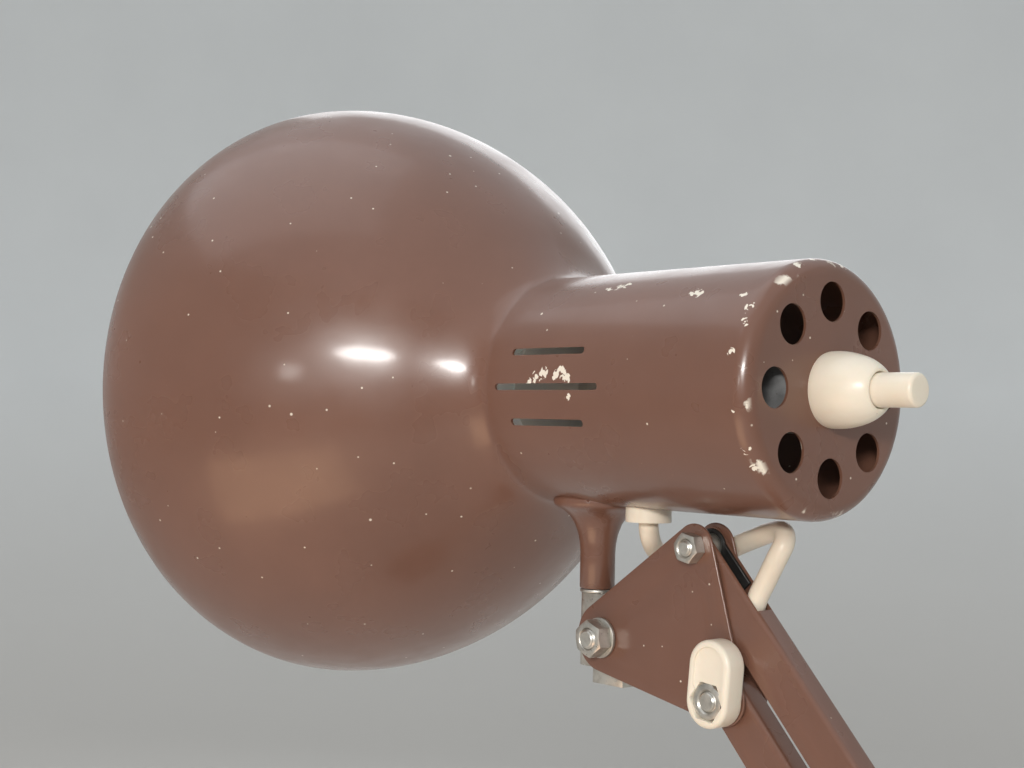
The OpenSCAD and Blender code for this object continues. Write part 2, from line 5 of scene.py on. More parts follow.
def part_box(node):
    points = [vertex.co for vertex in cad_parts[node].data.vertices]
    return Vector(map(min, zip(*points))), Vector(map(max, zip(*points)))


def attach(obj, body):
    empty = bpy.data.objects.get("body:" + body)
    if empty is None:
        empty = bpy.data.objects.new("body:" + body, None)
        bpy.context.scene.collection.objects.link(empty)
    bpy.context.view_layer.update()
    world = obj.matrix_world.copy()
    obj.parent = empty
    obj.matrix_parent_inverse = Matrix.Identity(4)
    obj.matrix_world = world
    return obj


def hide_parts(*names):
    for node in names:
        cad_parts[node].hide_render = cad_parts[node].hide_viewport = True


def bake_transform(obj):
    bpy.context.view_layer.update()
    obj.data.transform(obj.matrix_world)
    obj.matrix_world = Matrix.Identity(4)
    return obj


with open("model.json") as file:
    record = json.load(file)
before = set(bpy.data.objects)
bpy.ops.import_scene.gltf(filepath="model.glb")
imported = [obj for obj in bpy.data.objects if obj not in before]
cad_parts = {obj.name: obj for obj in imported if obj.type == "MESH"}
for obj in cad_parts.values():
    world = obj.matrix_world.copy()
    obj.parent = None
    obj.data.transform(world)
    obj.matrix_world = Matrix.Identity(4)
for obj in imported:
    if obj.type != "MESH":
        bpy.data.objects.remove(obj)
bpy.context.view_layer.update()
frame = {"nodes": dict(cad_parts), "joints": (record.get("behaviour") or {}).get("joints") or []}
mm = 0.001
scene = bpy.context.scene

shadeLow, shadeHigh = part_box("shade")
headOrigin = Vector((shadeHigh.x, 0, (shadeLow.z + shadeHigh.z) / 2))  # centre of the neck's end face


def headPoint(x, y, z):  # a point given in millimetres from the neck's end face
    return headOrigin + Vector((x, y, z)) * mm


def jointAt(name):
    return Vector([j for j in frame["joints"] if j["name"] == name][0]["pos_m"])


pivotTurretRight, pivotTurretLeft = jointAt("lower_arm_tilt"), jointAt("lower_arm_follow")
pivotElbowRight = jointAt("elbow_level")
pivotElbowTop, pivotElbowLow = jointAt("upper_arm_tilt"), jointAt("upper_arm_follow")
pivotHeadTop, pivotHeadTilt, pivotHeadLow = jointAt("head_level"), jointAt("head_tilt"), jointAt("lever_turn")
upperDir = (pivotHeadTop - pivotElbowTop).normalized()
lowerDir = (pivotElbowRight - pivotTurretRight).normalized()

cameraSet = dict(offset=(252.0, -337.4, -10.0), yaw=48.62, pitch=-1.36, roll=1.23, lens=53.48)


def makeCamera():
    yaw, pitch, roll = (math.radians(cameraSet[k]) for k in ("yaw", "pitch", "roll"))
    back = Vector((math.sin(yaw) * math.cos(pitch), -math.cos(yaw) * math.cos(pitch), math.sin(pitch)))
    side = Vector((math.cos(yaw), math.sin(yaw), 0))
    up = back.cross(side)
    right = math.cos(roll) * side + math.sin(roll) * up
    top = -math.sin(roll) * side + math.cos(roll) * up
    data = bpy.data.cameras.new("viewCamera")
    data.lens = cameraSet["lens"]
    data.clip_start, data.clip_end = 0.01, 50
    camera = bpy.data.objects.new("viewCamera", data)
    scene.collection.objects.link(camera)
    camera.matrix_world = Matrix.Translation(headPoint(*cameraSet["offset"])) @ Matrix(
        (right, top, back)).transposed().to_4x4()
    scene.camera = camera


makeCamera()
print("camera set")


def addNode(tree, kind, **settings):
    node = tree.nodes.new(kind)
    for key, value in settings.items():
        setattr(node, key, value)
    return node


def feed(tree, node, **sources):  # a value or a socket for each named input; spaces as underscores
    for key, source in sources.items():
        numbered = key[0] == "i" and key[1:].isdigit()  # i0, i1 name a socket by its place
        socket = node.inputs[int(key[1:]) if numbered else key.replace("_", " ")]
        if isinstance(source, bpy.types.NodeSocket):
            tree.links.new(source, socket)
        else:
            socket.default_value = source
    return node


def startMaterial(name, color, roughness, metallic=0.0, **shaderInputs):
    material = bpy.data.materials.new(name)
    material.use_nodes = True
    material.diffuse_color = (*color, 1)
    tree = material.node_tree
    shader = tree.nodes["Principled BSDF"]
    feed(tree, shader, Base_Color=(*color, 1), Roughness=roughness, Metallic=metallic)
    for key, value in shaderInputs.items():
        shader.inputs[key.replace("_", " ")].default_value = value
    coord = addNode(tree, "ShaderNodeTexCoord")
    return material, tree, shader, coord.outputs["Object"]


def noiseOf(tree, place, scale, detail=3.0, rough=0.55):  # about 0.3 to 0.7
    node = addNode(tree, "ShaderNodeTexNoise")
    feed(tree, node, Vector=place, Scale=scale, Detail=detail, Roughness=rough)
    return node.outputs["Fac"]


def between(tree, value, low, high, outLow=0.0, outHigh=1.0):  # low to high becomes outLow to outHigh
    node = addNode(tree, "ShaderNodeMapRange")
    feed(tree, node, Value=value, From_Min=low, From_Max=high, To_Min=outLow, To_Max=outHigh)
    return node.outputs["Result"]


def maths(tree, operation, a, b):
    node = addNode(tree, "ShaderNodeMath", operation=operation)
    feed(tree, node, i0=a, i1=b)
    return node.outputs[0]


def mixColor(tree, factor, a, b):
    node = addNode(tree, "ShaderNodeMix", data_type="RGBA")
    feed(tree, node, i0=factor, i6=a, i7=b)
    return node.outputs[2]


def bumpFrom(tree, shader, height, strength, distance):
    node = addNode(tree, "ShaderNodeBump")
    feed(tree, node, Height=height, Strength=strength, Distance=distance)
    tree.links.new(node.outputs["Normal"], shader.inputs["Normal"])


def specks(tree, place, scale, size, share):  # sparse round dots, one in some of the cells
    cells = addNode(tree, "ShaderNodeTexVoronoi")
    feed(tree, cells, Vector=place, Scale=scale)
    split = addNode(tree, "ShaderNodeSeparateColor")
    feed(tree, split, Color=cells.outputs["Color"])
    chosen = maths(tree, "LESS_THAN", split.outputs[0], share)
    near = between(tree, cells.outputs["Distance"], size, size * 0.7)
    return maths(tree, "MULTIPLY", chosen, near)


paintSet = dict(
    color=(0.190, 0.090, 0.060), dark=(0.150, 0.069, 0.045), chip=(0.84, 0.76, 0.64), roughness=0.29,
    chips=[  # place from the neck's end, then size, in mm
        (-58.5, -20.0, 29.9, 1.5), (-61.5, -20.4, 29.6, 1.7), (-64.5, -21.2, 29.1, 1.2),
        (-27.5, -24.5, 26.3, 2.0), (-26.0, -25.4, 25.4, 1.6), (-79.5, -35.8, 3.2, 2.0),
        (-76.5, -35.7, 4.4, 2.2), (-82.5, -35.9, 2.0, 1.3), (-71.0, -35.8, 3.4, 1.8),
        (-68.5, -35.7, 4.8, 1.6), (-66.5, -35.9, 2.2, 1.3), (-66.0, -35.9, -3.2, 0.9),
        (-92.0, -37.0, -4.6, 1.0), (-72.0, -35.0, -15.0, 1.2), (-84.0, -34.0, -19.0, 1.0),
        (-89.0, -38.0, 6.0, 0.8), (-50.0, -3.0, 35.9, 1.5), (-45.5, -4.0, 35.8, 1.3),
        (-40.0, -6.0, 35.5, 1.6), (-33.0, -8.0, 35.1, 1.5), (-4.0, -32.0, 17.0, 1.6),
        (-4.5, -29.0, 21.0, 1.3), (-3.0, -12.0, 33.0, 1.7), (-3.2, -5.0, 34.6, 1.3),
        (-2.6, 6.0, 33.8, 1.5), (-3.0, 14.0, 31.6, 1.4), (-4.2, -34.8, -6.0, 1.0),
        (-6.0, -35.0, 9.0, 1.0), (-3.4, -31.0, -16.0, 1.4), (-3.0, -28.0, -21.0, 1.3),
        (-9.0, -26.0, 24.6, 1.0)])
def paintMaterial(name, chipped):
    material, tree, shader, place = startMaterial(name, paintSet["color"], paintSet["roughness"],
                                                  Coat_Weight=0.35, Coat_Roughness=0.13)
    tone = noiseOf(tree, place, 14.0, 4.0)
    color = mixColor(tree, between(tree, tone, 0.3, 0.7), (*paintSet["dark"], 1), (*paintSet["color"], 1))
    fine = noiseOf(tree, place, 520.0, 2.0)
    color = mixColor(tree, between(tree, fine, 0.35, 0.75, 0.0, 0.12), color, (*paintSet["dark"], 1))
    dots = specks(tree, place, 160.0, 0.06, 0.5)
    dots = maths(tree, "MAXIMUM", dots, specks(tree, place, 60.0, 0.035, 0.4))
    shards = addNode(tree, "ShaderNodeTexVoronoi")
    feed(tree, shards, Vector=place, Scale=760.0)
    shardColor = addNode(tree, "ShaderNodeSeparateColor")
    feed(tree, shardColor, Color=shards.outputs["Color"])
    edge = between(tree, shardColor.outputs[0], 0.0, 1.0, -0.9 * mm, 1.1 * mm)
    marks = maths(tree, "MULTIPLY", dots, 0.8)
    if chipped:
        for x, y, z, size in paintSet["chips"]:
            gap = addNode(tree, "ShaderNodeVectorMath", operation="DISTANCE")
            feed(tree, gap, i0=place, i1=headPoint(x, y, z))
            reach = maths(tree, "ADD", gap.outputs["Value"], edge)
            marks = maths(tree, "MAXIMUM", marks, between(tree, reach, size * 0.75 * mm, size * 0.7 * mm))
        parts = addNode(tree, "ShaderNodeSeparateXYZ")
        feed(tree, parts, Vector=place)
        rimNear = between(tree, parts.outputs["X"], headOrigin.x - 3.4 * mm, headOrigin.x - 1.6 * mm)
        rimFar = between(tree, parts.outputs["X"], headOrigin.x - 0.4 * mm, headOrigin.x - 1.2 * mm)
        wear = between(tree, noiseOf(tree, place, 120.0, 4.0), 0.60, 0.64)
        rim = maths(tree, "MULTIPLY", rimNear, rimFar)
        marks = maths(tree, "MAXIMUM", marks, maths(tree, "MULTIPLY", wear, rim))
    color = mixColor(tree, marks, color, (*paintSet["chip"], 1))
    tree.links.new(color, shader.inputs["Base Color"])
    rough = between(tree, noiseOf(tree, place, 55.0, 3.0), 0.3, 0.7, paintSet["roughness"] - 0.05,
                    paintSet["roughness"] + 0.09)
    tree.links.new(rough, shader.inputs["Roughness"])
    peel = noiseOf(tree, place, 260.0, 2.0)
    height = maths(tree, "SUBTRACT", maths(tree, "MULTIPLY", peel, 0.25), marks)
    bumpFrom(tree, shader, height, 0.22, 0.00012)
    return material


def mouldedMaterial(name, color, stain, roughness, dust=0.35, softness=0.05):
    material, tree, shader, place = startMaterial(
        name, color, roughness, Subsurface_Weight=softness, Subsurface_Scale=0.002, Coat_Weight=0.15,
        Coat_Roughness=0.2)
    tone = noiseOf(tree, place, 60.0, 4.0)
    tinted = mixColor(tree, between(tree, tone, 0.42, 0.75, 0.0, 0.55), (*color, 1), (*stain, 1))
    dirt = maths(tree, "MULTIPLY", specks(tree, place, 260.0, 0.06, 0.2), dust)
    tinted = mixColor(tree, dirt, tinted, (0.16, 0.10, 0.07, 1))
    tree.links.new(tinted, shader.inputs["Base Color"])
    tree.links.new(between(tree, noiseOf(tree, place, 170.0), 0.3, 0.7, roughness - 0.06, roughness + 0.1),
                   shader.inputs["Roughness"])
    bumpFrom(tree, shader, noiseOf(tree, place, 900.0, 2.0), 0.08, 0.00008)
    return material


def metalMaterial(name, color, dull, roughness, metallic=0.85):
    material, tree, shader, place = startMaterial(name, color, roughness, metallic)
    cloudy = noiseOf(tree, place, 220.0, 4.0, 0.6)
    tinted = mixColor(tree, between(tree, cloudy, 0.38, 0.68, 0.0, 0.8), (*color, 1), (*dull, 1))
    pits = specks(tree, place, 620.0, 0.14, 0.14)
    tinted = mixColor(tree, maths(tree, "MULTIPLY", pits, 0.5), tinted, (0.12, 0.09, 0.07, 1))
    tree.links.new(tinted, shader.inputs["Base Color"])
    tree.links.new(between(tree, noiseOf(tree, place, 420.0), 0.3, 0.7, roughness - 0.1, roughness + 0.16),
                   shader.inputs["Roughness"])
    bumpFrom(tree, shader, noiseOf(tree, place, 1500.0, 3.0), 0.12, 0.00006)
    return material


def feltMaterial():
    material, tree, shader, place = startMaterial("greyFelt", (0.05, 0.05, 0.052), 0.95, Sheen_Weight=0.4)
    fibres = noiseOf(tree, place, 900.0, 5.0, 0.7)
    wool = mixColor(tree, fibres, (0.03, 0.03, 0.032, 1), (0.10, 0.10, 0.10, 1))
    tree.links.new(wool, shader.inputs["Base Color"])
    bumpFrom(tree, shader, fibres, 0.6, 0.0004)
    return material


def glassMaterial():
    material, tree, shader, place = startMaterial(
        "frostedGlass", (0.93, 0.92, 0.88), 0.28, Transmission_Weight=0.25, Subsurface_Weight=0.15,
        Subsurface_Scale=0.004)
    haze = noiseOf(tree, place, 90.0, 3.0)
    milky = mixColor(tree, haze, (0.90, 0.89, 0.85, 1), (0.97, 0.96, 0.93, 1))
    tree.links.new(milky, shader.inputs["Base Color"])
    tree.links.new(between(tree, haze, 0.3, 0.7, 0.22, 0.34), shader.inputs["Roughness"])
    return material


finishes = dict(
    paint=paintMaterial("brownPaint", False),
    headPaint=paintMaterial("brownPaintChipped", True),
    white=mouldedMaterial("whiteEnamel", (0.82, 0.80, 0.75), (0.74, 0.71, 0.64), 0.34, 0.1, 0.0),
    cream=mouldedMaterial("creamPlastic", (0.84, 0.76, 0.63), (0.74, 0.62, 0.46), 0.34, 0.35, 0.06),
    cord=mouldedMaterial("creamCord", (0.80, 0.71, 0.58), (0.66, 0.54, 0.41), 0.42, 0.55, 0.05),
    holder=mouldedMaterial("holderPlastic", (0.78, 0.74, 0.66), (0.66, 0.60, 0.50), 0.45, 0.2, 0.02),
    black=mouldedMaterial("blackPlastic", (0.010, 0.010, 0.010), (0.022, 0.020, 0.018), 0.5, 0.1, 0.0),
    zinc=metalMaterial("zincSteel", (0.62, 0.60, 0.55), (0.36, 0.34, 0.30), 0.36),
    # The neck bracket's aluminium is coloured dark grey: painted shade for the unlit inside of the neck.
    sheet=metalMaterial("bracketAluminium", (0.34, 0.34, 0.34), (0.22, 0.22, 0.22), 0.5, 0.6),
    brass=metalMaterial("capBrass", (0.72, 0.62, 0.38), (0.45, 0.38, 0.25), 0.32, 0.9),
    pins=metalMaterial("platedPins", (0.75, 0.72, 0.66), (0.52, 0.50, 0.45), 0.22, 0.95),
    iron=metalMaterial("castIron", (0.05, 0.05, 0.05), (0.09, 0.06, 0.045), 0.75, 0.3),
    felt=feltMaterial(), glass=glassMaterial())
print("materials made")


def curveAt(a, b, c, d, t):
    return 0.5 * (2 * b + (c - a) * t + (2 * a - 5 * b + 4 * c - d) * t * t
                  + (3 * b - a - 3 * c + d) * t ** 3)


def smoothPath(points, steps):
    points = [Vector(p) for p in points]
    last = len(points) - 1
    path = [curveAt(points[max(i - 1, 0)], points[i], points[i + 1], points[min(i + 2, last)], k / steps)
            for i in range(last) for k in range(steps)]
    return path + [points[last]]


def addPiece(name, mesh, material, body, slotName, *nodes, sharp=35.0):
    if material:
        mesh.materials.clear()
        mesh.materials.append(material)
    mesh.shade_smooth()
    mesh.set_sharp_from_angle(angle=math.radians(sharp))
    piece = bpy.data.objects.new(name, mesh)
    scene.collection.objects.link(piece)
    if body:
        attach(piece, body)
    if nodes:
        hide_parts(*nodes)
    return piece


def meshFrom(name, bm):  # joined up, with its faces outwards
    bmesh.ops.remove_doubles(bm, verts=bm.verts, dist=1e-7)
    bmesh.ops.recalc_face_normals(bm, faces=bm.faces)
    mesh = bpy.data.meshes.new(name)
    bm.to_mesh(mesh)
    bm.free()
    return mesh


def withModifiers(name, mesh, *modifiers):  # bake a list of (kind, settings) into a plain mesh
    holder = bpy.data.objects.new(name + "Work", mesh)
    scene.collection.objects.link(holder)
    for kind, settings in modifiers:
        modifier = holder.modifiers.new(kind, kind)
        for key, value in settings.items():
            setattr(modifier, key, value)
    graph = bpy.context.evaluated_depsgraph_get()
    result = bpy.data.meshes.new_from_object(holder.evaluated_get(graph))
    result.name = name
    bpy.data.objects.remove(holder)
    return result


def edgeRound(width, segments=2, angle=32.0):
    return "BEVEL", dict(width=width * mm, segments=segments, limit_method="ANGLE",
                         angle_limit=math.radians(angle), use_clamp_overlap=True, miter_outer="MITER_ARC")


def cutAway(cutter):
    return "BOOLEAN", dict(operation="DIFFERENCE", solver="EXACT", object=cutter)


def softened(node, width, segments=2):  # a CAD piece's own faces, joined up and with rounded edges
    bm = bmesh.new()
    bm.from_mesh(frame["nodes"][node].data)
    bmesh.ops.remove_doubles(bm, verts=bm.verts, dist=2e-6)
    bmesh.ops.dissolve_limit(bm, angle_limit=math.radians(0.6), verts=bm.verts, edges=bm.edges)
    mesh = bpy.data.meshes.new(node + "Soft")
    bm.to_mesh(mesh)
    bm.free()
    if width:
        mesh = withModifiers(node + "Soft", mesh, edgeRound(width, segments),
                             ("WEIGHTED_NORMAL", dict(keep_sharp=True)))
    return mesh


def latheRings(bm, profile, place, segments):  # profile is (along, radius); a radius of 0 is a pole
    rings = []
    for along, radius in profile:
        if radius < 1e-6:
            rings.append([bm.verts.new(place(along, 0, 0))])
        else:
            rings.append([bm.verts.new(place(along, radius * math.cos(t), radius * math.sin(t)))
                          for t in (2 * math.pi * k / segments for k in range(segments))])
    faces = []
    for low, high in zip(rings, rings[1:]):
        for k in range(segments):
            corners = [low[k % len(low)], low[(k + 1) % len(low)]]
            corners += [high[(k + 1) % len(high)], high[k % len(high)]]
            unique = list(dict.fromkeys(corners))
            if len(unique) > 2:
                faces.append(bm.faces.new(unique))
    return faces


def lathe(name, profile, place, segments=96, closed=False):
    bm = bmesh.new()
    latheRings(bm, profile + profile[:1] if closed else profile, place, segments)
    return meshFrom(name, bm)


def alongHead(along, a, b):
    return headPoint(along, a, b)


def arcPoints(cx, cy, radius, start, end, steps):
    turns = [math.radians(start + (end - start) * k / steps) for k in range(steps + 1)]
    return [(cx + radius * math.cos(t), cy + radius * math.sin(t)) for t in turns]


def tubeRings(path, radius, sides):  # circles square to the path, none twisted against the last
    ringList, normal = [], None
    for i, point in enumerate(path):
        tangent = (path[min(i + 1, len(path) - 1)] - path[max(i - 1, 0)]).normalized()
        if normal is None:
            normal = tangent.orthogonal().normalized()
        normal = (normal - tangent * normal.dot(tangent)).normalized()
        other = tangent.cross(normal)
        ringList.append([point + radius * (math.cos(t) * normal + math.sin(t) * other)
                         for t in (2 * math.pi * k / sides for k in range(sides))])
    return ringList


def tubeMesh(name, ringList):
    bm = bmesh.new()
    rows = [[bm.verts.new(p) for p in ring] for ring in ringList]
    sides = len(rows[0])
    for a, b in zip(rows, rows[1:]):
        for k in range(sides):
            bm.faces.new((a[k], a[(k + 1) % sides], b[(k + 1) % sides], b[k]))
    bm.faces.new(rows[0])
    bm.faces.new(rows[-1])
    return meshFrom(name, bm)


cordSet = dict(radius=3.0, sides=20, steps=6, leadSides=14, coilCentre=(190, 50), outer=48.0, inner=24.0,
               layer=6.0, perTurn=36)
leadRoute = [(142, 0, 7.5), (152, 0, 6.8), (164, 0.4, 4.6), (176, 1.2, 3.1), (190, 2, 3)]
plugRoute = [(190, 92, 9), (176, 92, 9), (165, 92.3, 9), (155, 93.2, 6.6), (145.5, 95, 3.9), (136.5, 98, 3.6),
             (129.6, 102.6, 4.9), (124, 108.6, 7)]


def coilPoints():  # four turns in along the table, then two and a half out on top of them
    outer, inner, up, base = cordSet["outer"], cordSet["inner"], cordSet["layer"], cordSet["radius"]
    stops = [(0, outer, base), (3.85, inner + 0.9, base), (4.15, inner + 4, base + up),
             (6.5, outer - 6, base + up)]  # turn, radius, height
    points, perTurn = [], cordSet["perTurn"]
    cx, cy = cordSet["coilCentre"]
    for k in range(1, int(6.5 * perTurn)):
        turn = k / perTurn
        for (t0, ra, za), (t1, rb, zb) in zip(stops, stops[1:]):
            if t0 <= turn <= t1:
                f = (turn - t0) / (t1 - t0)
                radius, height = ra + (rb - ra) * f, za + (zb - za) * f * f * (3 - 2 * f)
                break
        angle = math.radians(-90 + 360 * turn)
        points.append(Vector((cx + radius * math.cos(angle), cy + radius * math.sin(angle), height)))
    return points


def makeMainsCord():
    lead = smoothPath(leadRoute, 5)
    path = [Vector(p) * mm for p in lead + coilPoints() + smoothPath(plugRoute, 5)]
    mesh = tubeMesh("mainsCord", tubeRings(path, cordSet["radius"] * mm, cordSet["leadSides"]))
    cord = addPiece("mainsCord", mesh, finishes["cord"], "foot", "cream_cord", "mains_lead", "cord_coil",
                    "plug_lead", sharp=60)
    length = sum((b - a).length for a, b in zip(path, path[1:]))
    print("mains cord", round(length, 3), "m")
    return cord, path, length


mainsCord, mainsPath, mainsLength = makeMainsCord()

headRoute = [(-67, 0, -30), (-67, 0, -39), (-67.4, 1.2, -44.5), (-68.2, 4.8, -48.8), (-66, 9, -52.5),
             (-59.5, 11.4, -53), (-51, 11.9, -50), (-42.5, 11.8, -46), (-34, 10.8, -42.8), (-26, 8.6, -40.4),
             (-19.6, 5, -40), (-16.4, 1.6, -42.6), (-17.8, 0.2, -47), (-21, 0, -53), (-24.6, 0, -59.6),
             (-26, 0, -66.3), (-22.8, 0, -72.6), (-16.4, 0, -78), (-9.1, 0, -83.1)]
elbowAlong = [(-52, 0), (-38, 1.6), (-24, 7), (-11, 14), (3, 18.5)]
elbowAround = [(216, 0, 463), (226, 0, 444), (230, 0, 423), (226, 0, 402), (215, 0, 386)]
elbowInto = [(-27, 5.5), (-40, 1), (-54, 0)]
turretRoute = [(27.4, 0, 99.5), (15.5, 0, 90), (6, 0, 79), (1, 0, 68), (0, 0, 58), (0, 0, 46), (0, 0, 32),
               (0, 0, 20)]
upperStart, lowerStart, lowerEnd = 52 * mm, 60 * mm, 54 * mm  # where the runs in the bars start and stop


def loopPieces(route, joins, material):  # one tube in stretches
    path = smoothPath(route, cordSet["steps"])
    ringList = tubeRings(path, cordSet["radius"] * mm, cordSet["sides"])
    for name, first, last, bodyA, bodyB, start, end, node in joins:
        a, b = first * cordSet["steps"], min(last * cordSet["steps"], len(path) - 1)
        piece = addPiece(name, tubeMesh(name, ringList[a:b + 1]), material, None, "cream_cord", sharp=60)
        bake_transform(piece)
        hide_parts(node)


def makeLoops():
    route = [headPoint(*p) for p in headRoute] + [pivotHeadTop - upperStart * upperDir]
    loopPieces(route, [
        ("headCordTop", 0, 3, "head", "knuckle", 1, 3, "head_cord_loop"),
        ("headCordMid", 3, 7, "knuckle", "head_bracket", 3, 7, "head_cord_loop"),
        ("headCordEnd", 7, 19, "head_bracket", "upper_arm_main", 7, 14, "head_cord_loop")], finishes["cord"])
    upperSide = Vector((upperDir.z, 0, -upperDir.x))  # the side of each bar that its web is on
    lowerSide = Vector((lowerDir.z, 0, -lowerDir.x))
    route = [pivotElbowTop - a * mm * upperDir + b * mm * upperSide for a, b in elbowAlong]
    route += [Vector(p) * mm for p in elbowAround]
    route += [pivotElbowRight + a * mm * lowerDir + b * mm * lowerSide for a, b in elbowInto]
    loopPieces(route, [
        ("elbowCordTop", 0, 6, "upper_arm_main", "elbow", 1, 6, "elbow_cord_loop"),
        ("elbowCordLow", 6, 12, "elbow", "lower_arm_main", 6, 11, "elbow_cord_loop")], finishes["cord"])
    route = [pivotTurretRight + lowerStart * lowerDir, pivotTurretRight + 46 * mm * lowerDir - mm * lowerSide]
    route += [Vector(p) * mm for p in turretRoute]
    loopPieces(route, [
        ("turretCord", 0, 9, "lower_arm_main", "turret", 0, 5, "turret_cord_loop")], finishes["cord"])


makeLoops()


def straightRun(name, node, start, end, body):
    path = [start.lerp(end, k / 12) for k in range(13)]
    mesh = tubeMesh(name, tubeRings(path, cordSet["radius"] * mm, cordSet["sides"]))
    addPiece(name, mesh, finishes["cord"], body, "cream_cord", node, sharp=60)


straightRun("upperCordRun", "upper_cord_run", pivotElbowTop + upperStart * upperDir,
            pivotHeadTop - upperStart * upperDir, "upper_arm_main")
straightRun("lowerCordRun", "lower_cord_run", pivotTurretRight + lowerStart * lowerDir,
            pivotElbowRight - lowerEnd * lowerDir, "lower_arm_main")
print("cords made")

shadeSet = dict(neck=36.0, bowl=104.0, bowlX=-212.6, bowlLen=114.7, power=1.7, rimX=-223.0, rimCurve=60.0,
                blend=16.0, wall=0.8, endRound=5.0, stations=120, around=224, vents=8, ventRing=24.0,
                ventRadius=5.5, switchHole=5.3, slots=[(-98, -54, 0), (-92, -61, 10.5), (-92, -61, -10.5)],
                underHoles=[(-88.5, 3.8), (-67.0, 4.1)], whiteUpTo=-112)


def bowlRadius(x):
    s = abs(x - shadeSet["bowlX"]) / shadeSet["bowlLen"]
    return 0.0 if s >= 1 else shadeSet["bowl"] * (1 - s ** shadeSet["power"]) ** (1 / shadeSet["power"])


def shadeRadius(x):
    if x < shadeSet["bowlX"]:
        return shadeSet["bowl"] * math.sqrt(1 - ((shadeSet["bowlX"] - x) / shadeSet["rimCurve"]) ** 2)
    a, b, k = shadeSet["neck"], bowlRadius(x), shadeSet["blend"]
    return max(a, b) + max(k - abs(a - b), 0) ** 2 / (4 * k)


def shadeInside(x):
    slope = (shadeRadius(x + 0.1) - shadeRadius(x - 0.1)) / 0.2
    n = math.sqrt(1 + slope * slope)
    return x + shadeSet["wall"] * slope / n, shadeRadius(x) - shadeSet["wall"] / n


def cutterInto(bm, outline, direction, start, end):  # a prism of an outline, swept along a direction
    low = [bm.verts.new(p + direction * start) for p in outline]
    high = [bm.verts.new(p + direction * end) for p in outline]
    bm.faces.new(low)
    bm.faces.new(list(reversed(high)))
    for k in range(len(low)):
        j = (k + 1) % len(low)
        bm.faces.new((low[k], high[k], high[j], low[j]))


def shadeCutters():
    bm = bmesh.new()
    ring = [2 * math.pi * k / 48 for k in range(48)]
    axisX, axisY, axisZ = Vector((1, 0, 0)), Vector((0, 1, 0)), Vector((0, 0, 1))
    r = shadeSet["ventRadius"]
    for k in range(shadeSet["vents"]):
        t = 2 * math.pi / shadeSet["vents"] * k
        cy, cz = shadeSet["ventRing"] * math.sin(t), shadeSet["ventRing"] * math.cos(t)
        cutterInto(bm, [headPoint(0, cy + r * math.cos(a), cz + r * math.sin(a)) for a in ring], axisX,
                   -3 * mm, 3 * mm)
    r = shadeSet["switchHole"]
    cutterInto(bm, [headPoint(0, r * math.cos(a), r * math.sin(a)) for a in ring], axisX, -3 * mm, 3 * mm)
    for start, end, z in shadeSet["slots"]:
        ends = arcPoints(start + 1, z, 1.0, 90, 270, 8) + arcPoints(end - 1, z, 1.0, -90, 90, 8)
        for low, high in ((-50, -20), (20, 50)):
            cutterInto(bm, [headPoint(x, 0, q) for x, q in ends], axisY, low * mm, high * mm)
    for x, radius in shadeSet["underHoles"]:
        cutterInto(bm, [headPoint(x + radius * math.cos(a), radius * math.sin(a), 0) for a in ring], axisZ,
                   -40 * mm, -30 * mm)
    return meshFrom("shadeCutters", bm)


def makeShade():
    rim, neckStart = shadeSet["rimX"], -95.0
    xs = [rim + (neckStart - rim) * k / shadeSet["stations"] for k in range(shadeSet["stations"] + 1)]
    edge, wall, neck = shadeSet["endRound"], shadeSet["wall"], shadeSet["neck"]
    neckXs = [neckStart - (neckStart + edge) * k / 18 for k in range(1, 18)]
    bend = [(cx, cy) for cy, cx in arcPoints(neck - edge, -edge, edge, 0, 90, 10)]
    innerBend = [(cx, cy) for cy, cx in arcPoints(neck - edge, -edge, edge - wall, 0, 90, 8)]
    outer = [(x, shadeRadius(x)) for x in xs] + [(x, neck) for x in neckXs] + bend
    outer += [(0, r) for r in (24, 12, 0)]
    inner = [shadeInside(x) for x in xs] + [(x, neck - wall) for x in neckXs] + innerBend
    inner += [(-wall, r) for r in (24, 12, 0)]
    bead = arcPoints(rim + 0.6, shadeRadius(rim) - 0.9, 1.0, 100, 330, 10)
    bm = bmesh.new()
    latheRings(bm, outer, alongHead, shadeSet["around"])
    insideFaces = latheRings(bm, inner, alongHead, shadeSet["around"])
    latheRings(bm, [outer[0]] + bead + [inner[0]], alongHead, shadeSet["around"])
    # The neck's inside keeps the brown paint so it reads dark: painted shade for the unlit inside of the
    # neck.
    neckEdge = headPoint(shadeSet["whiteUpTo"], 0, 0).x
    for face in insideFaces:  # white only inside the bowl
        face.material_index = 1 if face.calc_center_median().x < neckEdge else 0
    bmesh.ops.remove_doubles(bm, verts=bm.verts, dist=1e-7)
    bmesh.ops.recalc_face_normals(bm, faces=bm.faces)
    mesh = bpy.data.meshes.new("shadeWhole")
    bm.to_mesh(mesh)
    bm.free()
    mesh.materials.append(finishes["headPaint"])
    mesh.materials.append(finishes["white"])
    cutMesh = shadeCutters()
    cutMesh.materials.append(finishes["headPaint"])
    cutter = bpy.data.objects.new("shadeCutters", cutMesh)
    scene.collection.objects.link(cutter)
    result = withModifiers("shadeShell", mesh, cutAway(cutter))
    bpy.data.objects.remove(cutter)
    addPiece("shadeShell", result, None, "head", "brown_paint", "shade", sharp=30)


makeShade()
print("shade made")


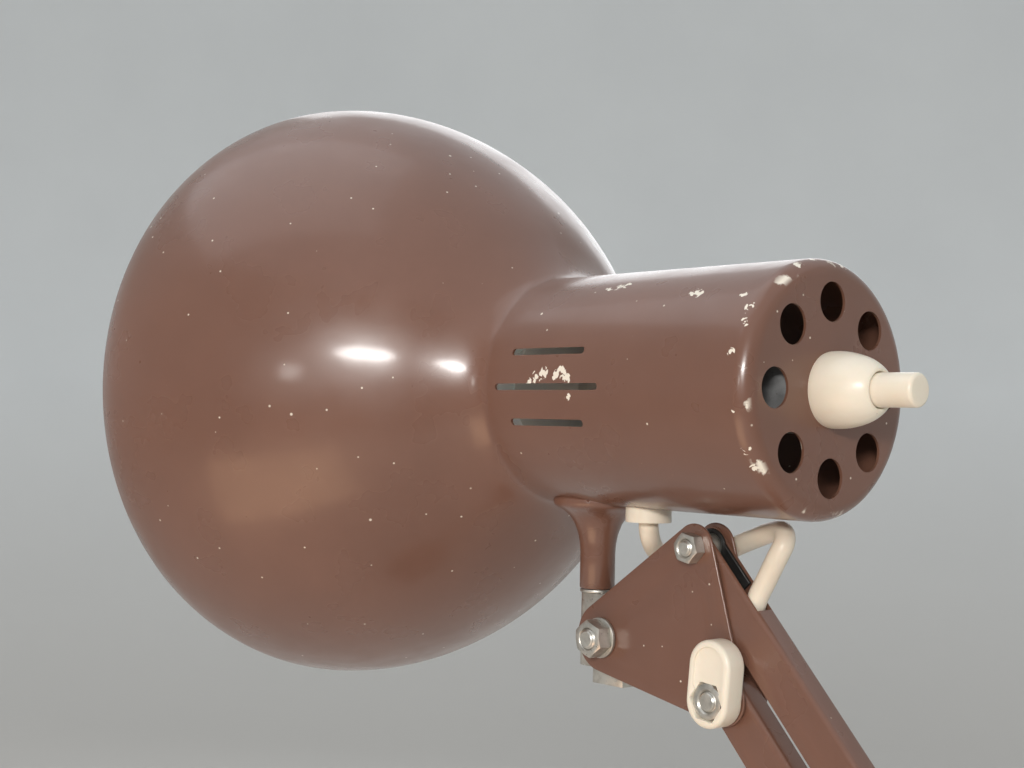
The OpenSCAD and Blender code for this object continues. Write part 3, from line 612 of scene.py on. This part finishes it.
def makeHeadFittings():
    boss = [(-0.6, 4.8), (-0.6, 10.4), (0.3, 10.5), (3, 10.6), (6, 10.3), (9, 9.7), (12, 8.7), (14, 7.5)]
    boss += [(15.2, 6.6), (15.8, 5.9), (16, 5.3), (15.8, 4.85), (14, 4.75)]
    bossMesh = withModifiers("switchBoss", lathe("boss", boss, alongHead, 72, closed=True),
                             ("SUBSURF", dict(levels=1, render_levels=1)))
    addPiece("switchBoss", bossMesh, finishes["cream"], "head", "cream_plastic", "switch_boss", sharp=50)
    button = [(-5, 0), (-5, 4.65), (10, 4.65), (24, 4.62)] + arcPoints(26.9, 3.5, 1.1, 90, 0, 6)
    button += [(28.0, 2.0), (28.0, 0)]
    addPiece("switchButton", lathe("button", button, alongHead, 64), finishes["cream"], "switch_button",
             "cream_plastic", "switch_plunger", sharp=50)
    bulb = [(-109.7, 0), (-109.7, 13.6), (-112, 14.2), (-117, 15), (-123, 16.3), (-129, 18.6), (-135, 21.4)]
    bulb += [(-141, 24.4)]
    globe = [math.radians(a) for a in range(46, 181, 6)]
    bulb += [(-160 + 30 * math.cos(a), 30 * math.sin(a)) for a in globe]
    bulb[-1] = (-190, 0)
    addPiece("bulbGlass", lathe("bulb", bulb, alongHead, 96), finishes["glass"], "head", "bulb_glass",
             "bulb_glass", sharp=60)
    cap = [(-82.6, 0), (-82.8, 4.5), (-85.5, 6), (-88.5, 12.2)]
    for k in range(25):  # rolled thread of the cap
        x = -90 - 0.68 * k
        cap.append((x, 12.9 + 0.45 * math.sin(2 * math.pi * (x + 90) / 3.6)))
    cap += [(-107.5, 13.2), (-109.3, 13.9), (-109.7, 0)]
    addPiece("bulbCap", lathe("cap", cap, alongHead, 64), finishes["brass"], "head", "cap_brass", "bulb_cap")
    for node, name, width, finish, slotName in (
            ("neck_bracket", "neckBracket", 0.25, "sheet", "bracket_aluminium"),
            ("lamp_holder", "lampHolder", 0.6, "holder", "holder_plastic"),
            ("holder_screws", "holderScrews", 0.12, "zinc", "zinc_steel"),
            ("switch_body", "switchBody", 0.5, "holder", "holder_plastic"),
            ("stem_washer", "stemWasher", 0.2, "zinc", "zinc_steel"),
            ("cord_grommet", "cordGrommet", 0.9, "cream", "cream_plastic"),
            ("stem", "stemTube", 0.0, "headPaint", "brown_paint")):
        addPiece(name, softened(node, width), finishes[finish], "head", slotName, node)
    for node, name, width in (("swivel_block", "swivelBlock", 0.35), ("swivel_nut", "swivelNut", 0.3),
                              ("knuckle_strap", "knuckleStrap", 0.3)):
        addPiece(name, softened(node, width), finishes["zinc"], "knuckle", "zinc_steel", node)


makeHeadFittings()


springSet = dict(start=-11.6, length=6.2, radius=3.7, wire=0.4, turns=6, perTurn=24, sides=8)


def makeSpring():
    count, radius, path = springSet["turns"] * springSet["perTurn"], springSet["radius"], []
    for k in range(count + 1):
        turn = math.radians(360 / springSet["perTurn"] * k)
        x = springSet["start"] + springSet["length"] * k / count
        path.append(headPoint(x, radius * math.cos(turn), radius * math.sin(turn)))
    mesh = tubeMesh("spring", tubeRings(path, springSet["wire"] * mm, springSet["sides"]))
    spring = addPiece("switchSpring", mesh, finishes["zinc"], None, "zinc_steel", sharp=60)
    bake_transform(spring)
    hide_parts("switch_spring")


makeSpring()


def makePlatesAndBars():
    plate, bar = 0.42, 0.22  # edge roundings in mm
    pieces = (
        ("head_plate_front", "headPlateFront", "head_bracket", plate),
        ("head_plate_back", "headPlateBack", "head_bracket", plate),
        ("elbow_plate_front", "elbowPlateFront", "elbow", plate),
        ("elbow_plate_back", "elbowPlateBack", "elbow", plate),
        ("turret_plate_front", "turretPlateFront", "turret", plate),
        ("turret_plate_back", "turretPlateBack", "turret", plate),
        ("turret_block", "turretBlock", "turret", 0.8),
        ("upper_bar_top", "upperBarTop", "upper_arm_main", bar),
        ("upper_bar_low", "upperBarLow", "upper_arm_link", bar),
        ("lower_bar_right", "lowerBarRight", "lower_arm_main", bar),
        ("lower_bar_left", "lowerBarLeft", "lower_arm_link", bar),
        ("foot_cover", "footCover", "foot", 0.5))
    for node, name, body, width in pieces:
        addPiece(name, softened(node, width, 3), finishes["paint"], body, "brown_paint", node, sharp=40)
    for node, name, body, width, finish, slotName in (
            # The black liner in the upper bar's end is partly a real part and partly painted shade for the
            # dark inside of the channel.
            ("bar_end_liner", "barEndLiner", "upper_arm_main", 0.25, "black", "black_plastic"),
            ("turret_washer", "turretWasher", "turret", 0.2, "black", "black_plastic"),
            ("foot_bush", "footBush", "foot", 0.3, "black", "black_plastic"),
            ("foot_weight", "footWeight", "foot", 1.0, "iron", "weight_iron"),
            ("felt_pad", "feltPad", "foot", 0.8, "felt", "grey_felt"),
            ("cord_gland", "cordGland", "foot", 0.3, "black", "black_plastic"),
            ("weight_screws", "weightScrews", "foot", 0.3, "zinc", "zinc_steel"),
            ("spigot_nut", "spigotNut", "turret", 0.4, "zinc", "zinc_steel"),
            ("head_sleeves", "headSleeves", "head_bracket", 0.3, "zinc", "zinc_steel"),
            ("elbow_sleeves", "elbowSleeves", "elbow", 0.3, "zinc", "zinc_steel"),
            ("turret_sleeves", "turretSleeves", "turret", 0.3, "zinc", "zinc_steel"),
            ("tilt_washers", "tiltWasher", "head_bracket", 0.25, "zinc", "zinc_steel"),
            ("foot_cord_run", "footCordRun", "foot", 0.0, "cord", "cream_cord")):
        addPiece(name, softened(node, width), finishes[finish], body, slotName, node, sharp=40)


makePlatesAndBars()
print("plates and bars made")

leverSet = dict(radius=7.5, reach=10.0, face=-5.35, thick=7.5, lean=5.0, edge=1.3, panel=5.3, panelDepth=0.6,
                nutFlats=10.3, nutFloor=-7.05, boltHole=3.1, sharpEdge=0.25)


def leverPlace(x, y, z):  # from the lever's own axes, which lean a little, to its pivot
    lean = math.radians(leverSet["lean"])
    side, up = x * math.cos(lean) + z * math.sin(lean), z * math.cos(lean) - x * math.sin(lean)
    return pivotHeadLow + Vector((side, y, up)) * mm


def prismMesh(name, outline, low, high, place):
    bm = bmesh.new()
    cutterInto(bm, [place(x, 0, z) for x, z in outline], Vector((0, 1, 0)), low * mm, high * mm)
    return meshFrom(name, bm)


def makeLever():
    reach, radius, wide = leverSet["reach"], leverSet["radius"], leverSet["panel"]
    outer, inner = leverSet["face"] - leverSet["thick"], leverSet["face"]
    outline = arcPoints(0, reach, radius, 0, 180, 28) + arcPoints(0, 0, radius, 180, 360, 28)
    body = withModifiers("lever", prismMesh("lever", outline, outer, inner, leverPlace),
                         edgeRound(leverSet["edge"], 5, 50))
    panel = arcPoints(0, reach + 0.2, wide, 0, 180, 24)
    panel += [(-wide, 4.2), (-3.9, 2.2), (3.9, 2.2), (wide, 4.2)]
    corner = leverSet["nutFlats"] / math.sqrt(3)
    hexagon = [(corner * math.cos(math.radians(a)), corner * math.sin(math.radians(a)))
               for a in range(0, 360, 60)]
    shaft = arcPoints(0, 0, leverSet["boltHole"], 0, 345, 23)
    cutters = []
    for name, shape, low, high in (("panel", panel, outer - 1, outer + leverSet["panelDepth"]),
                                   ("hexagon", hexagon, outer - 1, leverSet["nutFloor"]),
                                   ("shaft", shaft, outer - 1, inner + 1)):
        cutter = bpy.data.objects.new(name, prismMesh(name, shape, low, high, leverPlace))
        scene.collection.objects.link(cutter)
        cutters.append(cutter)
    result = withModifiers("frictionLever", body, *[cutAway(c) for c in cutters],
                           edgeRound(leverSet["sharpEdge"], 2, 50))
    for cutter in cutters:
        bpy.data.objects.remove(cutter)
    addPiece("frictionLever", result, finishes["cream"], "lever", "cream_plastic", "friction_lever", sharp=40)


makeLever()


def hexRadius(flats, angle):
    wedge = (angle + math.pi / 6) % (math.pi / 3) - math.pi / 6
    return flats / 2 / math.cos(wedge)


def nutMesh(name, flats, thick, bore, turn=0.0):  # a chamfered hexagon nut, outer face towards -Y
    bm = bmesh.new()
    count, lip = 72, flats / 2 * 0.96
    angles = [2 * math.pi * k / count for k in range(count)]

    def ring(radiusOf, yOf):
        corners = [(radiusOf(a) * math.cos(a + turn), yOf(a), radiusOf(a) * math.sin(a + turn))
                   for a in angles]
        return [bm.verts.new(Vector(corner) * mm) for corner in corners]

    def chamfer(a):
        return (hexRadius(flats, a) - lip) * 0.5

    rows = [ring(lambda a: bore, lambda a: 0.0), ring(lambda a: lip, lambda a: 0.0),
            ring(lambda a: hexRadius(flats, a), lambda a: -chamfer(a) * 0.6),
            ring(lambda a: hexRadius(flats, a), lambda a: -thick + chamfer(a)),
            ring(lambda a: lip, lambda a: -thick), ring(lambda a: bore + 0.5, lambda a: -thick),
            ring(lambda a: bore, lambda a: -thick + 0.5)]
    for a, b in zip(rows, rows[1:] + rows[:1]):
        for k in range(count):
            j = (k + 1) % count
            bm.faces.new((a[k], a[j], b[j], b[k]))
    return meshFrom(name, bm)


def boltMesh(name, radius, headRadius, front):  # threaded at the front end, with a low head behind
    profile = [(-front, 0), (-front, radius - 0.75), (-front + 0.35, radius - 0.35)]
    y = -front + 0.6
    while y < -front + 3.4:
        profile += [(y, radius - 0.3), (y + 0.22, radius), (y + 0.44, radius - 0.3)]
        y += 0.5
    profile += [(y + 0.2, radius), (5.25, radius), (5.25, headRadius), (5.7, headRadius)]
    dome = [math.radians(a) for a in range(15, 90, 15)]
    profile += [(5.7 + 2.0 * math.sin(a), headRadius * math.cos(a)) for a in dome]
    profile += [(7.75, 0)]
    return lathe(name, profile, lambda along, a, b: Vector((a, along, b)) * mm, 40)


def fastenerTree():  # puts one fastener at each point of a small mesh
    tree = bpy.data.node_groups.new("fastenersOnPivots", "GeometryNodeTree")
    tree.interface.new_socket("Geometry", in_out="INPUT", socket_type="NodeSocketGeometry")
    tree.interface.new_socket("Fastener", in_out="INPUT", socket_type="NodeSocketObject")
    tree.interface.new_socket("Size", in_out="INPUT", socket_type="NodeSocketFloat").default_value = 1.0
    tree.interface.new_socket("Finish", in_out="INPUT", socket_type="NodeSocketMaterial")
    tree.interface.new_socket("Geometry", in_out="OUTPUT", socket_type="NodeSocketGeometry")
    first, last = addNode(tree, "NodeGroupInput"), addNode(tree, "NodeGroupOutput")
    info = addNode(tree, "GeometryNodeObjectInfo")
    put = addNode(tree, "GeometryNodeInstanceOnPoints")
    real = addNode(tree, "GeometryNodeRealizeInstances")
    dress = addNode(tree, "GeometryNodeSetMaterial")
    feed(tree, info, Object=first.outputs["Fastener"])
    feed(tree, put, Points=first.outputs["Geometry"], Instance=info.outputs["Geometry"],
         Scale=first.outputs["Size"])
    feed(tree, real, Geometry=put.outputs["Instances"])
    feed(tree, dress, Geometry=real.outputs["Geometry"], Material=first.outputs["Finish"])
    feed(tree, last, Geometry=dress.outputs["Geometry"])
    return tree


fasteners = fastenerTree()


def fastenersAt(name, points, source, body, node):
    mesh = bpy.data.meshes.new(name + "Points")
    mesh.from_pydata([tuple(p) for p in points], [], [])
    holder = bpy.data.objects.new(name + "Points", mesh)
    pattern = bpy.data.objects.new(name + "Pattern", source)
    for item in (holder, pattern):
        scene.collection.objects.link(item)
    modifier = holder.modifiers.new("fasteners", "NODES")
    modifier.node_group = fasteners
    sockets = {s.name: s.identifier for s in fasteners.interface.items_tree if s.in_out == "INPUT"}
    modifier[sockets["Fastener"]] = pattern
    modifier[sockets["Size"]] = 1.0
    modifier[sockets["Finish"]] = finishes["zinc"]
    graph = bpy.context.evaluated_depsgraph_get()
    result = bpy.data.meshes.new_from_object(holder.evaluated_get(graph))
    for item in (holder, pattern):
        bpy.data.objects.remove(item)
    addPiece(name, result, finishes["zinc"], body, "zinc_steel", node, sharp=28)


def offsetY(point, y):
    return point + Vector((0, y * mm, 0))


fastenerSet = dict(elbowWidth=30.0, turretFeet=[(-14, 0, 56.5), (14, 0, 56.5)], plateFace=-5.26,
                   washerFace=-6.46, leverFloor=-7.2)


def makeFasteners():
    plateFace, washerFace, leverFloor = (fastenerSet[k] for k in ("plateFace", "washerFace", "leverFloor"))
    pivotElbowLeft = pivotElbowRight - Vector((fastenerSet["elbowWidth"] * mm, 0, 0))
    elbowPoints = [pivotElbowLeft, pivotElbowRight, pivotElbowLow, pivotElbowTop]
    turretPoints = [pivotTurretLeft, pivotTurretRight] + [Vector(p) * mm for p in fastenerSet["turretFeet"]]
    smallBolt = boltMesh("smallBolt", 2.45, 5.0, 9.65)
    for body, points in (("elbow", elbowPoints), ("turret", turretPoints)):
        smallNut = nutMesh("nutSmall", 8, 4, 2.5, 0.3)
        fastenersAt(body + "Nuts", [offsetY(p, plateFace) for p in points], smallNut, body, body + "_nuts")
        fastenersAt(body + "Bolts", points, smallBolt.copy(), body, body + "_bolts")
    for name, pivot, face, flats, thick, bore, turn, body, node in (
            ("headTopNut", pivotHeadTop, plateFace, 8, 4, 2.5, 18, "head_bracket", "head_nuts"),
            ("headTiltNut", pivotHeadTilt, washerFace, 10, 5, 3.05, 8, "head_bracket", "head_nuts"),
            ("leverNut", pivotHeadLow, leverFloor, 10, 5, 3.05, -5, "lever", "lever_nut")):
        nut = nutMesh(name + "Shape", flats, thick, bore, math.radians(turn))
        fastenersAt(name, [offsetY(pivot, face)], nut, body, node)
    for name, pivot, radius, headRadius, front in (("headTopBolt", pivotHeadTop, 2.45, 5.0, 9.75),
                                                   ("headTiltBolt", pivotHeadTilt, 3.0, 6.0, 12.2),
                                                   ("headLowBolt", pivotHeadLow, 3.0, 6.0, 12.4)):
        bolt = boltMesh(name + "Shape", radius, headRadius, front)
        fastenersAt(name, [pivot], bolt, "head_bracket", "head_bolts")


makeFasteners()
print("fasteners made")


tieSet = dict(angle=45.0, width=5.0, thick=0.8, outline=[
    (23.6, 0), (23.5, 4), (24.3, 9), (27.3, 12.2), (31, 12.5), (41, 12.5), (44.8, 11.6), (46.8, 8.2),
    (49.4, 5.2), (49.5, 0)])


def tieMesh():  # a soft band folded down over the coil
    path = smoothPath([(r, 0, z) for r, z in tieSet["outline"]], 5)
    turn, bm, rows = math.radians(tieSet["angle"]), bmesh.new(), []
    centre = Vector((*cordSet["coilCentre"], 0))
    for i, point in enumerate(path):
        along = (path[min(i + 1, len(path) - 1)] - path[max(i - 1, 0)]).normalized()
        out = Vector((-along.z, 0, along.x)) * tieSet["thick"]
        half, row = tieSet["width"] / 2, []
        for side, lift in ((-1, 0), (-1, 0.7), (-0.86, 1), (0.86, 1), (1, 0.7), (1, 0)):
            spot = point + out * lift + Vector((0, side * half, 0))
            spot = Vector((spot.x * math.cos(turn) - spot.y * math.sin(turn),
                           spot.x * math.sin(turn) + spot.y * math.cos(turn), max(spot.z, 0.05)))
            row.append(bm.verts.new((centre + spot) * mm))
        rows.append(row)
    for a, b in zip(rows, rows[1:]):
        for k in range(6):
            bm.faces.new((a[k], a[(k + 1) % 6], b[(k + 1) % 6], b[k]))
    bm.faces.new(rows[0])
    bm.faces.new(rows[-1])
    return meshFrom("coilTie", bm)


def makePlug():
    body, metal = softened("plug_body", 1.2, 4), softened("plug_pins", 0.3)
    plug = addPiece("plugBody", body, finishes["cream"], "foot", "plug_plastic", "plug_body")
    pins = addPiece("plugPins", metal, finishes["pins"], "foot", "plug_metal", "plug_pins")
    tie = addPiece("coilTie", tieMesh(), finishes["black"], "foot", "black_plastic", "coil_tie", sharp=50)


makePlug()

studioSet = dict(floor=(0.60, 0.575, 0.54), wall=(0.82, 0.83, 0.82), world=(0.70, 0.73, 0.76),
                 worldStrength=0.95, flat=3.0, far=5.0, height=5.0)


def makeStage():
    profile = [(0, 0), (studioSet["flat"], 0)]
    bend = studioSet["far"] - studioSet["flat"]
    profile += [(studioSet["flat"] + bend * math.sin(math.radians(a)), bend * (1 - math.cos(math.radians(a))))
                for a in range(10, 91, 10)] + [(studioSet["far"], studioSet["height"])]
    bm = bmesh.new()
    latheRings(bm, [(z, r) for r, z in profile], lambda along, a, b: Vector((a, b, along)), 96)
    mesh = bpy.data.meshes.new("studioFloor")
    bm.to_mesh(mesh)
    bm.free()
    material, tree, shader, place = startMaterial("studioPaper", studioSet["floor"], 0.9)
    parts = addNode(tree, "ShaderNodeSeparateXYZ")
    feed(tree, parts, Vector=place)
    # Darker and warmer on the floor than on the wall: painted shade, so the lamp's lower side reflects a dim
    # floor.
    height = between(tree, parts.outputs["Z"], 0.0, 0.9)
    wall = mixColor(tree, noiseOf(tree, place, 2.0), (*studioSet["wall"], 1), (0.74, 0.75, 0.745, 1))
    tree.links.new(mixColor(tree, height, (*studioSet["floor"], 1), wall), shader.inputs["Base Color"])
    mesh.materials.append(material)
    mesh.shade_smooth()
    floor = bpy.data.objects.new("studioFloor", mesh)
    scene.collection.objects.link(floor)


def areaLight(name, towards, distance, size, power, color, target=(-140, -60, 5), shape="RECTANGLE"):
    data = bpy.data.lights.new(name, "AREA")
    data.shape, data.size, data.size_y = shape, size[0], size[1]
    data.energy, data.color = power, color
    light = bpy.data.objects.new(name, data)
    scene.collection.objects.link(light)
    aim = Vector(towards).normalized()
    light.location = headPoint(*target) + aim * distance
    light.rotation_euler = aim.to_track_quat("Z", "Y").to_euler()


def makeLights():
    world = bpy.data.worlds.new("studioWorld")
    world.use_nodes = True
    sky = world.node_tree.nodes["Background"]
    sky.inputs["Color"].default_value = (*studioSet["world"], 1)
    sky.inputs["Strength"].default_value = studioSet["worldStrength"]
    scene.world = world
    areaLight("keyWindow", (0.600, -0.758, 0.245), 2.2, (0.68, 0.22), 26, (1.0, 0.985, 0.96),
              shape="ELLIPSE")
    areaLight("sideWindow", (0.285, -0.954, 0.095), 2.6, (0.25, 0.25), 3.0, (1.0, 0.98, 0.95))
    areaLight("topSoft", (-0.35, -0.25, 1.0), 2.6, (2.4, 2.4), 12, (0.95, 0.97, 1.0))
    areaLight("warmBounce", (0.1, -0.75, -0.6), 0.8, (0.6, 0.34), 1.2, (1.0, 0.60, 0.34))
    areaLight("backFill", (-0.8, 0.9, 0.4), 2.6, (1.6, 1.6), 12, (0.97, 0.98, 1.0))


makeStage()
makeLights()
scene.view_settings.view_transform = "Standard"
print("studio made")
